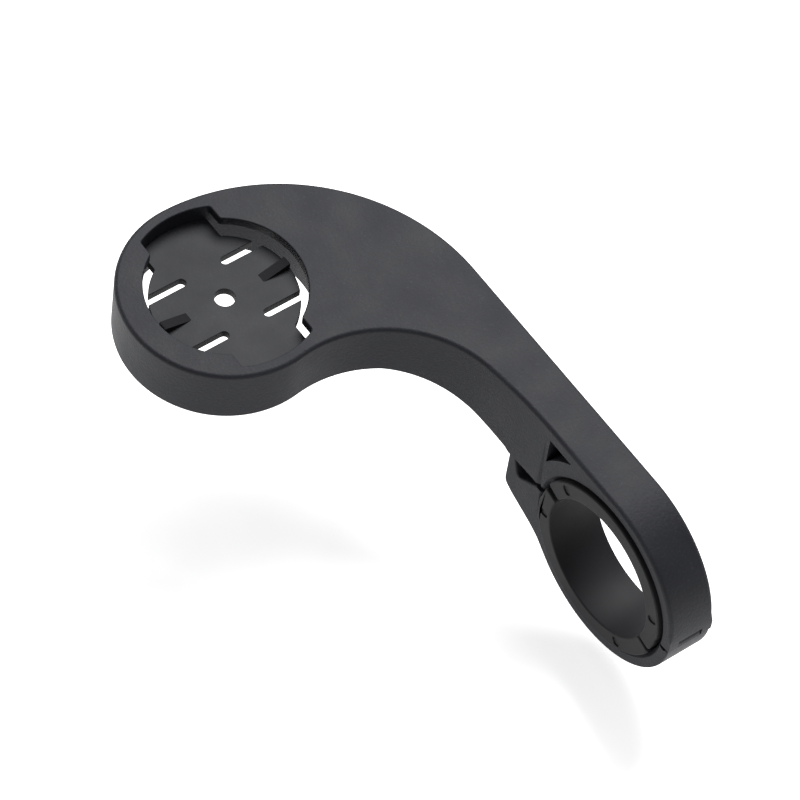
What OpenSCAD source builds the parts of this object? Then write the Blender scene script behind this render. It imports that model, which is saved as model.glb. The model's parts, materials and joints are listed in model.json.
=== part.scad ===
// Out-front handlebar mount for a cycling computer, with a quarter-turn socket.
// Origin: centre of the handlebar bore. X runs along the bar, +Y points forwards to the
// socket head, +Z is up and square to the head's top face. Millimetres.

/* [Handlebar clamp] */
// Diameter of the handlebar that the liner grips
bar_d = 25.4; // [25.4:0.1:26]
// Wall of the two-part liner that fills a 31.8 mm clamp down to the bar
liner_wall = 3.2; // [3:0.1:3.4]
// Width of the liner along the bar
liner_w = 10; // [9.4:0.2:11]
// Width of the arm and of the clamp jaw along the bar
arm_w = 8.8; // [8.4:0.2:9.2]
// Outer radius of the clamp, which is also the height of the flat top above the bar
clamp_r = 18.6; // [18.2:0.1:19.4]
// Height of the front split above the bar centre
front_split_z = 2.2; // [1.8:0.1:2.6]
// Reach of the clamp's front flange from the bar centre
flange_y = 25.2; // [25:0.1:26]

/* [Socket head] */
// Sideways offset of the head from the middle of the clamp
head_x = -32.5; // [-34:0.5:-31]
// Distance of the head ahead of the bar centre
head_y = 68.5; // [67:0.5:70]
// Outer radius of the head
head_r = 18.3; // [18.2:0.1:18.6]
// Height of the head's underside above the bar centre
head_base_z = 7.2; // [6.8:0.1:7.6]
// Radius of the socket mouth between the two lips
mouth_r = 13.6; // [13.4:0.1:13.8]
// Radius of the two entry lobes and of the undercut
lobe_r = 16.2; // [16:0.1:16.3]
// Width of each entry lobe
lobe_w = 13.8; // [13.2:0.2:14.2]
// Depth of the socket floor below the top face
floor_depth = 3.4; // [3.3:0.1:3.7]
// Thickness of the socket floor
floor_t = 1.5; // [1.4:0.1:2]
// Thickness of each lip
lip_t = 1.7; // [1.5:0.1:1.8]

/* [Fastening] */
// Nominal diameter of the clamp screw
screw_d = 3; // [3:0.5:3]
// Distance of the screw ahead of the bar centre
screw_y = 20; // [19.8:0.1:20.2]
// Diameter of the hinge pin
pin_d = 1.6; // [1.4:0.1:1.6]

/* [Hidden] */
$fn = 96;
eps = 0.01;
far = 120;

top_z = clamp_r;
bore_r = bar_d / 2 + liner_wall;
half_w = arm_w / 2;

// the arm's outline seen from above: a shallow arc of the shank, then the throat's arc, which
// touches both the shank's arc and the head's circle
outer_arc_r = half_w - head_x;
outer_arc_y = head_y + head_r - outer_arc_r;
shank_arc_r = 99;
shank_arc_x = -half_w - shank_arc_r;
shank_arc_y = 16.7;
shank_arc_a = 9.15;
shank_end_y = shank_arc_y + shank_arc_r * sin(shank_arc_a);
throat_dx = head_x - shank_arc_x;
throat_dy = head_y - shank_arc_y;
throat_offset = (pow(shank_arc_r + head_r, 2) - pow(throat_dx, 2) - pow(throat_dy, 2))
    / (2 * (shank_arc_r + head_r - throat_dx * cos(shank_arc_a) - throat_dy * sin(shank_arc_a)));
throat_r = shank_arc_r - throat_offset;
throat_x = shank_arc_x + throat_offset * cos(shank_arc_a);
throat_y = shank_arc_y + throat_offset * sin(shank_arc_a);
ramp_end_y = 47.2;

// the blind pocket in each side of the clamp
side_pocket_y = 16.7;
side_pocket_depth = 3;
side_pocket_ring_r = bore_r + 3.5;
side_pocket_roof_t = 2.6;

// the coring under the head and neck
core_wall_t = 2.1;
core_start_y = 43;
core_roof_t = 2.4;
rib_t = 1.6;
rib_angles = [-27, 6];

// the split at the back, on the hinge axis in the middle of the clamp's wall
jaw_r = 18.5;
hinge_z = -1.1;
hinge_y = -sqrt(pow((bore_r + jaw_r) / 2, 2) - pow(hinge_z, 2));
knuckle_r = 1.28;
knuckle_w = 4.4;
knuckle_gap = 0.2;
knuckle_clear = 0.3;
hinge_slot_in = 1.5;
hinge_slot_down = 5;
ear_relief_a = 9;
split_gap = 0.1;
pin_start_x = -half_w + 0.8;
pin_sunk = 0.2;
mouth_bevel = 0.7;

// the liner halves
liner_split_a = 20;
liner_clear = 0.3;
dimple_r = 14.35;
dimple_len = 2.2;
dimple_w = 1.1;
dimple_depth = 0.4;

// socket floor
floor_z = top_z - floor_depth;
floor_r = 12.6;
floor_side_gap = 0.3;
finger_half_w = 5.4;
slot_w = 1.6;
slot_start = 4.4;
ramp_w = 1.8;
ramp_in = 7.2;
ramp_out = 12;
ramp_h = 1.3;
centre_hole_d = 3.5;

// screw, washer and insert
screw_shank_d = screw_d - 0.06;
insert_d = 4.6;
insert_len = 6;
insert_z = front_split_z + 0.4;
screw_room_d = 3.6;
screw_room_len = 2;
head_d = 5.5;
head_h = 3;
hex_af = 2.5;
hex_deep = 1.6;
washer_t = 0.5;
washer_d = 6;
seat_z = -5;
screw_len = insert_z + insert_len - seat_z + washer_t;
pocket_r = 3.3;
hole_r = 1.75;
swing_room = 1.2;

// the jaw's flange, seen along the bar
jaw_flange_a = 47;
jaw_heel = [[15.3, -11], [17.4, -9.75]];
jaw_toe = [[flange_y - 2, -7.35], [flange_y - 0.3, -6.3], [flange_y, -5.3]];
nose_t = 1.6;
nose_z = front_split_z - 0.3;
dish = [[flange_y - 2.8, -1.9], [17.7, 1.2], [0, 1.2]];

// a solid whose outline lies in the Y-Z plane, centred on x = 0
module across(width) {
    rotate([90, 0, 90]) translate([0, 0, -width / 2]) linear_extrude(width) children();
}

// a pie slice in the Y-Z plane from angle a to angle b
module pie(r, a, b) {
    n = ceil((b - a) / 30);
    reach = r / cos(15) + 1;
    points = [for (i = [0 : n]) let (t = a + (b - a) * i / n) [reach * cos(t), reach * sin(t)]];
    intersection() {
        circle(r);
        polygon(concat([[0, 0]], points));
    }
}

// outline of the clamp shank and neck from above, drawn in by inset; the polygon's edges beside
// the shank and the throat lie a little inside the arcs that are cut out after it
module neck_outline(inset) {
    past = 2;
    difference() {
        intersection() {
            union() {
                translate([head_x, outer_arc_y]) circle(outer_arc_r - inset, $fn = 180);
                translate([head_x, -clamp_r]) square([outer_arc_r - inset, clamp_r + outer_arc_y]);
            }
            polygon([[-half_w + inset, -clamp_r], [-half_w + inset, shank_arc_y],
                     [-half_w - past + inset, shank_end_y], [throat_x + past, throat_y + throat_r - past],
                     [head_x, throat_y + throat_r - past], [head_x, head_y + head_r - inset],
                     [far, head_y + head_r - inset], [far, -clamp_r]]);
        }
        intersection() {
            translate([shank_arc_x, shank_arc_y]) circle(shank_arc_r + inset, $fn = 360);
            translate([shank_arc_x, shank_arc_y])
                square([2 * shank_arc_r, shank_end_y - shank_arc_y]);
        }
        translate([throat_x, throat_y]) circle(throat_r + inset, $fn = 180);
    }
}

module arm_outline() {
    union() {
        translate([head_x, head_y]) circle(head_r);
        neck_outline(0);
    }
}

// side view of the arm: clamp half, ramped underside and level head
module arm_profile() {
    difference() {
        union() {
            circle(clamp_r, $fn = 180);
            polygon([[0, 0], [flange_y, front_split_z], [ramp_end_y, head_base_z], [far, head_base_z],
                     [far, top_z], [0, top_z]]);
        }
        translate([0, front_split_z - far]) square([flange_y + eps, far]);
        translate([-far, hinge_z - far]) square([far + eps, far]);
    }
}

// the bore through the clamp, with its bevelled mouths
module clamp_bore() {
    rotate([0, 90, 0]) {
        cylinder(r = bore_r, h = far, center = true, $fn = 180);
        for (side = [0, 1]) mirror([0, 0, side]) translate([0, 0, half_w - mouth_bevel])
            cylinder(r1 = bore_r, r2 = bore_r + mouth_bevel + eps, h = mouth_bevel + eps, $fn = 180);
    }
}

// a slot along X in the socket floor: its inner end is round
module floor_slot(side, y) {
    translate([side * slot_start, y]) {
        circle(d = slot_w, $fn = 32);
        translate([side > 0 ? 0 : -far, -slot_w / 2]) square([far, slot_w]);
    }
}

// the blind pocket in each side face, between the clamp ring, the top wall and the screw boss
module side_pocket() {
    near = side_pocket_ring_r / 2;
    for (side = [-1, 1]) translate([side * (half_w - side_pocket_depth / 2 + eps), 0, 0])
        across(side_pocket_depth + 2 * eps) difference() {
            translate([near, near]) square([side_pocket_y - near, top_z - side_pocket_roof_t - near]);
            circle(side_pocket_ring_r, $fn = 180);
        }
}

// everything cut from the head from above
module socket_cut() {
    translate([head_x, head_y, floor_z - eps]) {
        cylinder(r = mouth_r, h = far, $fn = 180);
        cylinder(r = lobe_r, h = floor_depth - lip_t + eps, $fn = 180);
        linear_extrude(far) intersection() {
            circle(lobe_r, $fn = 180);
            square([lobe_w, far], center = true);
        }
    }
}

// the open coring under the head and the neck
module underside_core() {
    translate([head_x, head_y, head_base_z - far]) cylinder(r = lobe_r, h = far + floor_z - head_base_z, $fn = 180);
    difference() {
        translate([0, 0, -far]) linear_extrude(far + top_z - core_roof_t) intersection() {
            neck_outline(core_wall_t);
            translate([-far, core_start_y]) square([2 * far, far]);
        }
        translate([head_x, head_y, 0]) cylinder(r = head_r, h = far, $fn = 180);
        neck_ribs();
    }
}

// two ribs that stiffen the hollow neck
module neck_ribs() {
    for (a = rib_angles) translate([head_x, head_y, -far]) rotate(a)
        translate([lobe_r + 4, -rib_t / 2, 0]) cube([far, rib_t, 2 * far]);
}

module arm() {
    color([0.13, 0.13, 0.14]) difference() {
        intersection() {
            translate([0, 0, -far]) linear_extrude(2 * far) arm_outline();
            translate([head_x / 2, 0, 0]) across(far) arm_profile();
        }
        clamp_bore();
        side_pocket();
        socket_cut();
        underside_core();
        hinge_slot();
        pin_hole();
        translate([0, screw_y, 0]) cylinder(d = insert_d, h = insert_z + insert_len, $fn = 48);
        translate([0, screw_y, 0])
            cylinder(d = screw_room_d, h = insert_z + insert_len + screw_room_len, $fn = 48);
    }
}

// the gap between the arm's two hinge ears
module hinge_slot() {
    width = knuckle_w + 2 * knuckle_gap;
    room_r = knuckle_r + knuckle_clear;
    translate([-width / 2, hinge_y - hinge_slot_down, hinge_z - hinge_slot_down])
        cube([width, hinge_slot_down + hinge_slot_in, hinge_slot_down + room_r]);
    rotate([0, 90, 0]) translate([-hinge_z, hinge_y, 0])
        cylinder(r = room_r, h = width, center = true, $fn = 48);
}

// the pin's hole, blind in one ear and open through the other
module pin_hole() {
    translate([pin_start_x, hinge_y, hinge_z]) rotate([0, 90, 0]) cylinder(d = pin_d, h = far, $fn = 48);
}

// floor plate of the socket, with its two spring fingers and their detent ramps
module socket_floor() {
    color([0.15, 0.15, 0.16]) translate([head_x, head_y, floor_z - floor_t]) {
        linear_extrude(floor_t) difference() {
            union() {
                circle(floor_r, $fn = 180);
                intersection() {
                    circle(lobe_r, $fn = 180);
                    square([lobe_w - 2 * floor_side_gap, far], center = true);
                }
            }
            circle(d = centre_hole_d, $fn = 48);
            for (side = [-1, 1], y = [-1, 1]) floor_slot(side, y * (finger_half_w + slot_w / 2));
        }
        for (side = [0, 1]) mirror([side, 0, 0]) detent_ramp();
    }
}

module detent_ramp() {
    translate([0, ramp_w / 2, floor_t]) rotate([90, 0, 0]) linear_extrude(ramp_w)
        polygon([[ramp_in, -eps], [ramp_out, ramp_h], [ramp_out + 0.5, ramp_h], [ramp_out + 0.5, -eps]]);
}

// lower half of the clamp: knuckle at the back, flange with an upturned nose in front
module clamp_jaw() {
    color([0.13, 0.13, 0.14]) difference() {
        union() {
            across(arm_w) jaw_profile();
            translate([0, hinge_y, hinge_z]) rotate([0, 90, 0])
                cylinder(r = knuckle_r, h = knuckle_w, center = true, $fn = 48);
        }
        clamp_bore();
        pin_bore();
        ear_relief();
        screw_way();
    }
}

// side view of the jaw: half ring, flange and nose
module jaw_profile() {
    start = [[0, 0], [0, -bore_r], jaw_r * [cos(jaw_flange_a), -sin(jaw_flange_a)]];
    nose = [[flange_y, nose_z], [flange_y - nose_t, nose_z]];
    difference() {
        union() {
            intersection() {
                circle(jaw_r, $fn = 180);
                translate([-far, -far]) square([far + bore_r, far + hinge_z - split_gap]);
            }
            polygon(concat(start, jaw_heel, jaw_toe, nose, dish));
        }
        circle(bore_r - liner_clear);
    }
}

module pin_bore() {
    translate([0, hinge_y, hinge_z]) rotate([0, 90, 0])
        cylinder(d = pin_d + 0.1, h = far, center = true, $fn = 48);
}

// room for the arm's ears on both sides of the knuckle while the jaw swings open
module ear_relief() {
    inner_y = -bore_r + 2;
    above = hinge_z + 5;
    for (side = [-1, 1]) translate([side * (knuckle_w / 2 + knuckle_gap / 2 + far / 2), 0, 0])
        across(far - knuckle_gap)
            polygon([[-far, hinge_z - far * tan(ear_relief_a)], [hinge_y, hinge_z - split_gap],
                     [inner_y, hinge_z - split_gap], [inner_y, above], [-far, above]]);
}

// screw hole, counterbore and seat in the flange, long enough for the jaw's swing
module screw_way() {
    for (y = [0, swing_room]) translate([0, screw_y + y, 0]) {
        translate([0, 0, -far / 2]) cylinder(r = hole_r, h = far, $fn = 48);
        translate([0, 0, seat_z - far]) cylinder(r = pocket_r, h = far, $fn = 48);
    }
    translate([-hole_r, screw_y, -far / 2]) cube([2 * hole_r, swing_room, far]);
    translate([-pocket_r, screw_y, seat_z - far]) cube([2 * pocket_r, swing_room, far]);
}

// one half of the liner, from angle a to angle b; its ends stand clear of the other clamp half
module liner_half(a, b, thin_a, thin_b) {
    across(liner_w) difference() {
        pie(bore_r, a, b);
        difference() {
            pie(bore_r + 1, thin_a, thin_b);
            circle(bore_r - liner_clear, $fn = 180);
        }
        circle(d = bar_d, $fn = 180);
    }
}

// shallow oval dimples in both side faces of a liner half
module liner_dimples(angles) {
    reach = (dimple_len - dimple_w) / 2;
    for (side = [-1, 1], t = angles)
        rotate([t, 0, 0]) translate([side * liner_w / 2, dimple_r, 0]) across(2 * dimple_depth) {
            square([2 * reach, dimple_w], center = true);
            for (end = [-1, 1]) translate([end * reach, 0]) circle(d = dimple_w, $fn = 32);
        }
}

module liner_upper() {
    color([0.1, 0.1, 0.11]) difference() {
        liner_half(liner_split_a + 4, liner_split_a + 179, 180, 210);
        liner_dimples([44, 167]);
    }
}

module liner_lower() {
    color([0.1, 0.1, 0.11]) difference() {
        liner_half(liner_split_a + 181, liner_split_a + 358, 363, 390);
        liner_dimples([-7, -122]);
    }
}

module hinge_pin() {
    color([0.75, 0.75, 0.77]) translate([pin_start_x, hinge_y, hinge_z]) rotate([0, 90, 0])
        cylinder(d = pin_d, h = half_w - pin_start_x - pin_sunk, $fn = 48);
}

module clamp_screw() {
    color([0.2, 0.2, 0.21]) translate([0, screw_y, seat_z - washer_t]) difference() {
        union() {
            cylinder(d = screw_shank_d, h = screw_len, $fn = 48);
            translate([0, 0, -head_h]) cylinder(d = head_d, h = head_h, $fn = 48);
        }
        translate([0, 0, -head_h - eps]) cylinder(d = hex_af / cos(30), h = hex_deep, $fn = 6);
    }
}

module screw_washer() {
    color([0.7, 0.7, 0.72]) translate([0, screw_y, seat_z - washer_t]) difference() {
        cylinder(d = washer_d, h = washer_t, $fn = 48);
        translate([0, 0, -eps]) cylinder(d = screw_d + 0.1, h = washer_t + 2 * eps, $fn = 48);
    }
}

module thread_insert() {
    color([0.8, 0.65, 0.3]) translate([0, screw_y, insert_z]) difference() {
        cylinder(d = insert_d, h = insert_len, $fn = 48);
        translate([0, 0, -eps]) cylinder(d = screw_d + 0.04, h = insert_len + 2 * eps, $fn = 48);
    }
}

arm();
socket_floor();
clamp_jaw();
liner_upper();
liner_lower();
hinge_pin();
clamp_screw();
screw_washer();
thread_insert();
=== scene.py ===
"""Finished pieces of an out-front handlebar mount, built around its packed CAD frame.

The mount's frame has its origin in the middle of the handlebar bore, +X along the bar, +Y forwards
to the socket head and +Z square to the flat top. Everything here is in metres in that frame.
"""

import json
import math
from types import SimpleNamespace

import bmesh
import bpy
from bpy.props import FloatProperty, FloatVectorProperty, IntProperty, PointerProperty, StringProperty
from mathutils import Matrix, Vector


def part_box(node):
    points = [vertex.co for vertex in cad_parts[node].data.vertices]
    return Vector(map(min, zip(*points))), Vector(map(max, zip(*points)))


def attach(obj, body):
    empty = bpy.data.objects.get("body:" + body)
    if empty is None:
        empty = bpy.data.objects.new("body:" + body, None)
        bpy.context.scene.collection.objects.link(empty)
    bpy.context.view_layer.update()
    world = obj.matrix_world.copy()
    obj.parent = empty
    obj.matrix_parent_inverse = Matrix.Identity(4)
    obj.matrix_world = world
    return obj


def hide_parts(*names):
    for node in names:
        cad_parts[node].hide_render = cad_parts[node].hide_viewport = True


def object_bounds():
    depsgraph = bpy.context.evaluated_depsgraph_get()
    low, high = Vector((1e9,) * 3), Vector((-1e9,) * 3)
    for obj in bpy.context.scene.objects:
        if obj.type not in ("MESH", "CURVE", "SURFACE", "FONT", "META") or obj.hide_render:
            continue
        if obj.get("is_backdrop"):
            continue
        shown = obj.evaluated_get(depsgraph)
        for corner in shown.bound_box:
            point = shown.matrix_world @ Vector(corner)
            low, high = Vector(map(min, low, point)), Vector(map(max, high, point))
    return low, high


bl_info = {
    "name": "Handlebar mount pieces",
    "version": (1, 0, 0),
    "blender": (4, 5, 0),
    "location": "3D View > Sidebar > Mount",
    "description": "Builds the moulded and metal pieces of an out-front handlebar mount on its CAD frame",
    "category": "Object",
}

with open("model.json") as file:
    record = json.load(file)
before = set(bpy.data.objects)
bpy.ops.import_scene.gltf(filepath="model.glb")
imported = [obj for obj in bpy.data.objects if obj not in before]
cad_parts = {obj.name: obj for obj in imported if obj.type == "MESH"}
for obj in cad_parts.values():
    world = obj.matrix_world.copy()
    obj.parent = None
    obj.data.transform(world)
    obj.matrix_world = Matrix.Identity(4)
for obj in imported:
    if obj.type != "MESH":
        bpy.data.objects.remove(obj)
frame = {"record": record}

MM = 0.001
FAR = 120 * MM  # further than the mount reaches, for cutters that run right through
TOUCH = 0.01 * MM  # places closer than this count as the same
FLOW_CLOUD = 9 * MM  # breadth of the clouds where the nylon flowed
TOOL_MARK = 0.4 * MM  # width of a tool mark, coarser than a real one so that it shows
QUARTER = math.radians(90)
ALONG_BAR = Vector((1, 0, 0))
FORWARD = Vector((0, 1, 0))
UP = Vector((0, 0, 1))
BAR_AXIS = Vector((0, 0, 0))


def read_frame():
    """The places and sizes that the CAD frame gives."""
    arm_low, arm_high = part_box("arm")
    floor_low, floor_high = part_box("socket_floor")
    jaw_low, jaw_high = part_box("clamp_jaw")
    liner_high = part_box("liner_upper")[1]
    pin_low, pin_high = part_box("hinge_pin")
    screw_low, screw_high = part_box("clamp_screw")
    washer_low, washer_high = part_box("screw_washer")
    insert_low, insert_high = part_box("thread_insert")
    bar = next(m for m in frame["record"]["mounts"] if m["name"] == "handlebar_clamp")
    head = Vector(((floor_low.x + floor_high.x) / 2, (floor_low.y + floor_high.y) / 2, arm_high.z))
    return SimpleNamespace(
        head=head,
        head_r=head.x - arm_low.x,
        half_w=jaw_high.x,
        top_z=arm_high.z,
        clamp_r=arm_high.z,
        jaw_r=-jaw_low.z,
        flange_y=jaw_high.y,
        nose_z=jaw_high.z,
        lobe_r=(floor_high.y - floor_low.y) / 2,
        floor_low_z=floor_low.z,
        floor_high_z=floor_high.z,
        liner_half_w=liner_high.x,
        bore_r=liner_high.z,
        bar_r=bar["dims"]["r_mm"] * MM,
        hinge=Vector((0, (pin_low.y + pin_high.y) / 2, (pin_low.z + pin_high.z) / 2)),
        pin=(pin_low, pin_high),
        screw=(screw_low, screw_high),
        washer=(washer_low, washer_high),
        insert=(insert_low, insert_high),
    )


F = read_frame()


# ---------------------------------------------------------------- what a user would change


def length(name, description, default):
    """A property that holds a length in metres."""
    return FloatProperty(name=name, description=description, default=default, unit="LENGTH", precision=5)


def angle(name, description, degrees):
    """A property that holds an angle, given in degrees."""
    radians = math.radians(degrees)
    return FloatProperty(name=name, description=description, default=radians, unit="ROTATION")


def number(name, description, default, unit="NONE"):
    """A property that holds a plain number, or one with a unit."""
    return FloatProperty(name=name, description=description, default=default, unit=unit)


def direction(name, description, default):
    """A property that holds a direction."""
    return FloatVectorProperty(name=name, description=description, default=default, subtype="DIRECTION")


def place_of(name, description, default):
    """A property that holds a place in metres."""
    return FloatVectorProperty(name=name, description=description, default=default, unit="LENGTH")


def hex_colour(name, description, default):
    """A property that holds an sRGB colour as six hex digits."""
    return StringProperty(name=name, description=description, default=default, maxlen=6)


class ArmSizes(bpy.types.PropertyGroup):
    """Sizes of the arm moulding that its box doesn't give."""

    chord: length("Chord", "Length of one straight step along a curved outline", 1.1 * MM)
    shank_r: length("Shank radius", "Radius of the shallow inner curve above the clamp", 99 * MM)
    shank_y: length("Shank start", "Where the shallow inner curve begins", 16.7 * MM)
    shank_turn: angle("Shank turn", "How far the shallow inner curve turns", 9.15)
    split_z: length("Front split", "Height of the front split above the bar's axis", 2.2 * MM)
    ramp_end_y: length("Ramp end", "Where the sloping underside meets the level head", 47.2 * MM)
    base_z: length("Underside", "Height of the head's underside above the bar's axis", 7.2 * MM)
    top_round: length("Top rounding", "Rounding of the outer edges", 0.75 * MM)
    base_round: length("Underside rounding", "Rounding of the lower edges", 0.5 * MM)
    bore_flare: length("Bore bevel", "Bevel at the mouths of the clamp's bore", 0.7 * MM)
    core_wall: length("Core wall", "Wall around the hollow underside", 2.1 * MM)
    core_roof: length("Core roof", "Thickness of the roof over the hollow neck", 2.4 * MM)
    core_start_y: length("Core start", "Where the hollow neck begins", 43 * MM)
    rib_t: length("Rib thickness", "Thickness of the ribs in the hollow neck", 1.6 * MM)
    first_rib: angle("First rib", "Direction of the first rib from the head's middle", -27)
    second_rib: angle("Second rib", "Direction of the second rib from the head's middle", 6)
    pocket_front_y: length("Pocket front", "Front wall of the three-cornered side pockets", 16.7 * MM)
    pocket_roof: length("Pocket roof", "Wall left between a side pocket and the top face", 2.6 * MM)
    pocket_ring: length("Pocket ring", "Wall left between a side pocket and the bore", 3.5 * MM)
    pocket_deep: length("Pocket depth", "Depth of the side pockets", 3 * MM)
    pocket_round: length("Pocket rounding", "Rounding of the side pockets' corners", 0.3 * MM)


class SocketSizes(bpy.types.PropertyGroup):
    """Sizes of the quarter-turn socket."""

    mouth_r: length("Mouth radius", "Radius of the socket's mouth", 13.6 * MM)
    lobe_w: length("Lobe width", "Width of the two entry lobes", 13.8 * MM)
    lip_t: length("Lip thickness", "Thickness of the two lips", 1.7 * MM)
    floor_t: length("Floor thickness", "Thickness of the socket's floor", 1.5 * MM)
    floor_r: length("Floor radius", "Radius of the floor between its lobes", 12.6 * MM)
    side_gap: length("Side gap", "Play at each side of the floor's lobes", 0.3 * MM)
    rim_round: length("Rim rounding", "Rounding of the mouth's top edge", 0.25 * MM)
    slot_w: length("Slot width", "Width of the four slots beside the spring fingers", 1.6 * MM)
    slot_in: length("Slot start", "Where each slot's round end is centred", 4.4 * MM)
    finger_half_w: length("Finger half width", "Half the width of each spring finger", 5.4 * MM)
    ramp_w: length("Ramp width", "Width of the detent ramp on each finger", 1.8 * MM)
    ramp_in: length("Ramp foot", "Where each detent ramp rises from the floor", 7.2 * MM)
    ramp_out: length("Ramp crest", "Where each detent ramp is highest", 12 * MM)
    ramp_round: length("Ramp rounding", "Rounding of the detent ramps' edges", 0.12 * MM)
    floor_round: length("Floor rounding", "Rounding of the floor's top edges", 0.15 * MM)
    hole_d: length("Centre hole", "Diameter of the hole in the middle of the floor", 3.5 * MM)


class ClampSizes(bpy.types.PropertyGroup):
    """Sizes of the jaw, the liner and the hinge."""

    edge_round: length("Jaw rounding", "Rounding of the jaw's outer edges", 0.3 * MM)
    liner_round: length("Liner rounding", "Rounding of the liner's edges", 0.3 * MM)
    liner_relief: length("Liner relief", "Room over a liner end that crosses the clamp's split", 0.3 * MM)
    knuckle_r: length("Knuckle radius", "Radius of the hinge knuckle", 1.28 * MM)
    knuckle_w: length("Knuckle width", "Width of the hinge knuckle", 4.4 * MM)
    knuckle_gap: length("Knuckle gap", "Play at each side of the knuckle", 0.2 * MM)
    liner_end: length("Liner end rounding", "Rounding of the liner's ends, seen along the bar", 0.8 * MM)
    dimple_deep: length("Dimple depth", "Depth of the liner's dimples", 0.25 * MM)
    dimple_r: length("Dimple radius", "How far the liner's dimples lie from the bar's axis", 14.35 * MM)
    dimple_long: length("Dimple length", "Half the length of a dimple, outwards from the bar", 0.95 * MM)
    dimple_wide: length("Dimple width", "Half the width of a dimple, along the liner", 0.7 * MM)
    dimple_corner: length("Dimple corner", "Rounding that makes a dimple an oval", 0.65 * MM)
    dimple_rim: length("Dimple rim", "Rounding of a dimple's rim", 0.12 * MM)
    seat_z: length("Screw seat", "Height of the face that the screw's washer bears on", -5 * MM)
    pocket_r: length("Screw pocket", "Radius of the pocket around the screw's head", 3.3 * MM)
    hole_r: length("Screw hole", "Radius of the screw's hole in the jaw", 1.75 * MM)
    swing_room: length("Swing room", "Length added to the screw's hole for the jaw's swing", 1.2 * MM)


class FastenerSizes(bpy.types.PropertyGroup):
    """Sizes of the screw, the insert and the pin."""

    pitch: length("Pitch", "Pitch of the screw's thread", 0.5 * MM)
    thread_r: length("Thread radius", "Outer radius of the screw's thread", 1.47 * MM)
    thread_depth: length("Thread depth", "Depth of the screw's thread", 0.28 * MM)
    thread_start: angle("Thread start", "Turns the thread off the facets of the screw's head", 1.7)
    head_h: length("Head height", "Height of the screw's head", 3 * MM)
    hex_af: length("Hex socket", "Width across the flats of the screw's hexagon socket", 2.5 * MM)
    hex_deep: length("Hex depth", "Depth of the screw's hexagon socket", 1.6 * MM)
    knurls: IntProperty(name="Knurls", description="Ridges around the knurled bands", default=36, min=12)
    head_knurl: length("Head knurl", "Depth of the knurl around the screw's head", 0.09 * MM)
    insert_knurl: length("Insert knurl", "Depth of the knurls around the insert", 0.1 * MM)
    washer_hole_r: length("Washer hole", "Radius of the washer's hole", 1.55 * MM)
    insert_hole_r: length("Insert hole", "Radius of the insert's hole", 1.52 * MM)
    chamfer: length("Chamfer", "Chamfer at the ends of the turned pieces", 0.2 * MM)


class Finish(bpy.types.PropertyGroup):
    """Colours and surface grain."""

    body: hex_colour("Body", "Black nylon of the arm and the jaw", "1E1F24")
    socket: hex_colour("Socket", "Black nylon of the socket's floor", "1D1E22")
    ramp: hex_colour("Ramps", "Coarser black nylon of the detent ramps", "151518")
    liner: hex_colour("Liner", "Black liner", "17171A")
    oxide: hex_colour("Black oxide", "Screw steel", "4A4A4E")
    steel: hex_colour("Steel", "Pin and washer steel", "C6C6C8")
    brass: hex_colour("Brass", "Insert brass", "D9B56A")
    grain: length("Grain", "Width of a grain of the moulded texture", 0.3 * MM)


class Studio(bpy.types.PropertyGroup):
    """The camera, the light and the floor around the mount."""

    place: place_of("Camera place", "Where the camera stands", (-0.3333, -0.2910, 0.6680))
    ahead: direction("Camera ahead", "Direction of view", (0.394, 0.412, -0.821))
    up: direction("Camera up", "Upward direction of the picture", (0.441, 0.699, 0.563))
    lens: number("Lens", "Focal length in millimetres", 220.6)
    sensor: number("Sensor", "Width of the camera's sensor in millimetres", 36)
    floor: hex_colour("Floor", "Studio floor", "FAFAFA")
    floor_drop: length("Floor drop", "Room between the closed clamp and the studio floor", 7 * MM)
    floor_glow: number("Floor glow", "Strength of the floor's own light", 0.62)
    key_place: place_of("Light place", "Where the soft light hangs", (0.45, 0.45, 0.9))
    key_size: number("Light size", "Side of the soft light", 0.6, "LENGTH")
    key_power: number("Light power", "Power of the soft light", 19, "POWER")
    room_light: number("Room light", "Strength of the white room's light", 0.4)


# ---------------------------------------------------------------- modelling by hand, step by step


def deselect_all():
    """Leaves nothing selected, because an operator acts on all that is selected."""
    if bpy.context.object and bpy.context.object.mode != "OBJECT":
        bpy.ops.object.mode_set(mode="OBJECT")
    bpy.ops.object.select_all(action="DESELECT")


def pick(piece):
    """Makes one object the selected and active one."""
    deselect_all()
    piece.select_set(True)
    bpy.context.view_layer.objects.active = piece


def edit(piece, select="SELECT"):
    """Opens an object for editing, with all of it selected or none of it."""
    pick(piece)
    bpy.ops.object.mode_set(mode="EDIT")
    bpy.ops.mesh.select_mode(type="VERT")
    bpy.ops.mesh.select_all(action=select)


def close_edit():
    """Leaves edit mode, which writes the shape into the mesh."""
    bpy.ops.object.mode_set(mode="OBJECT")


def tidy(piece, reach=0.001 * MM):
    """Merges doubles and turns every face outwards."""
    edit(piece)
    bpy.ops.mesh.remove_doubles(threshold=reach)
    bpy.ops.mesh.normals_make_consistent(inside=False)
    close_edit()


def named(name):
    """Names the object that was just added, and its mesh."""
    piece = bpy.context.object
    piece.name = name
    piece.data.name = name
    return piece


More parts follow.
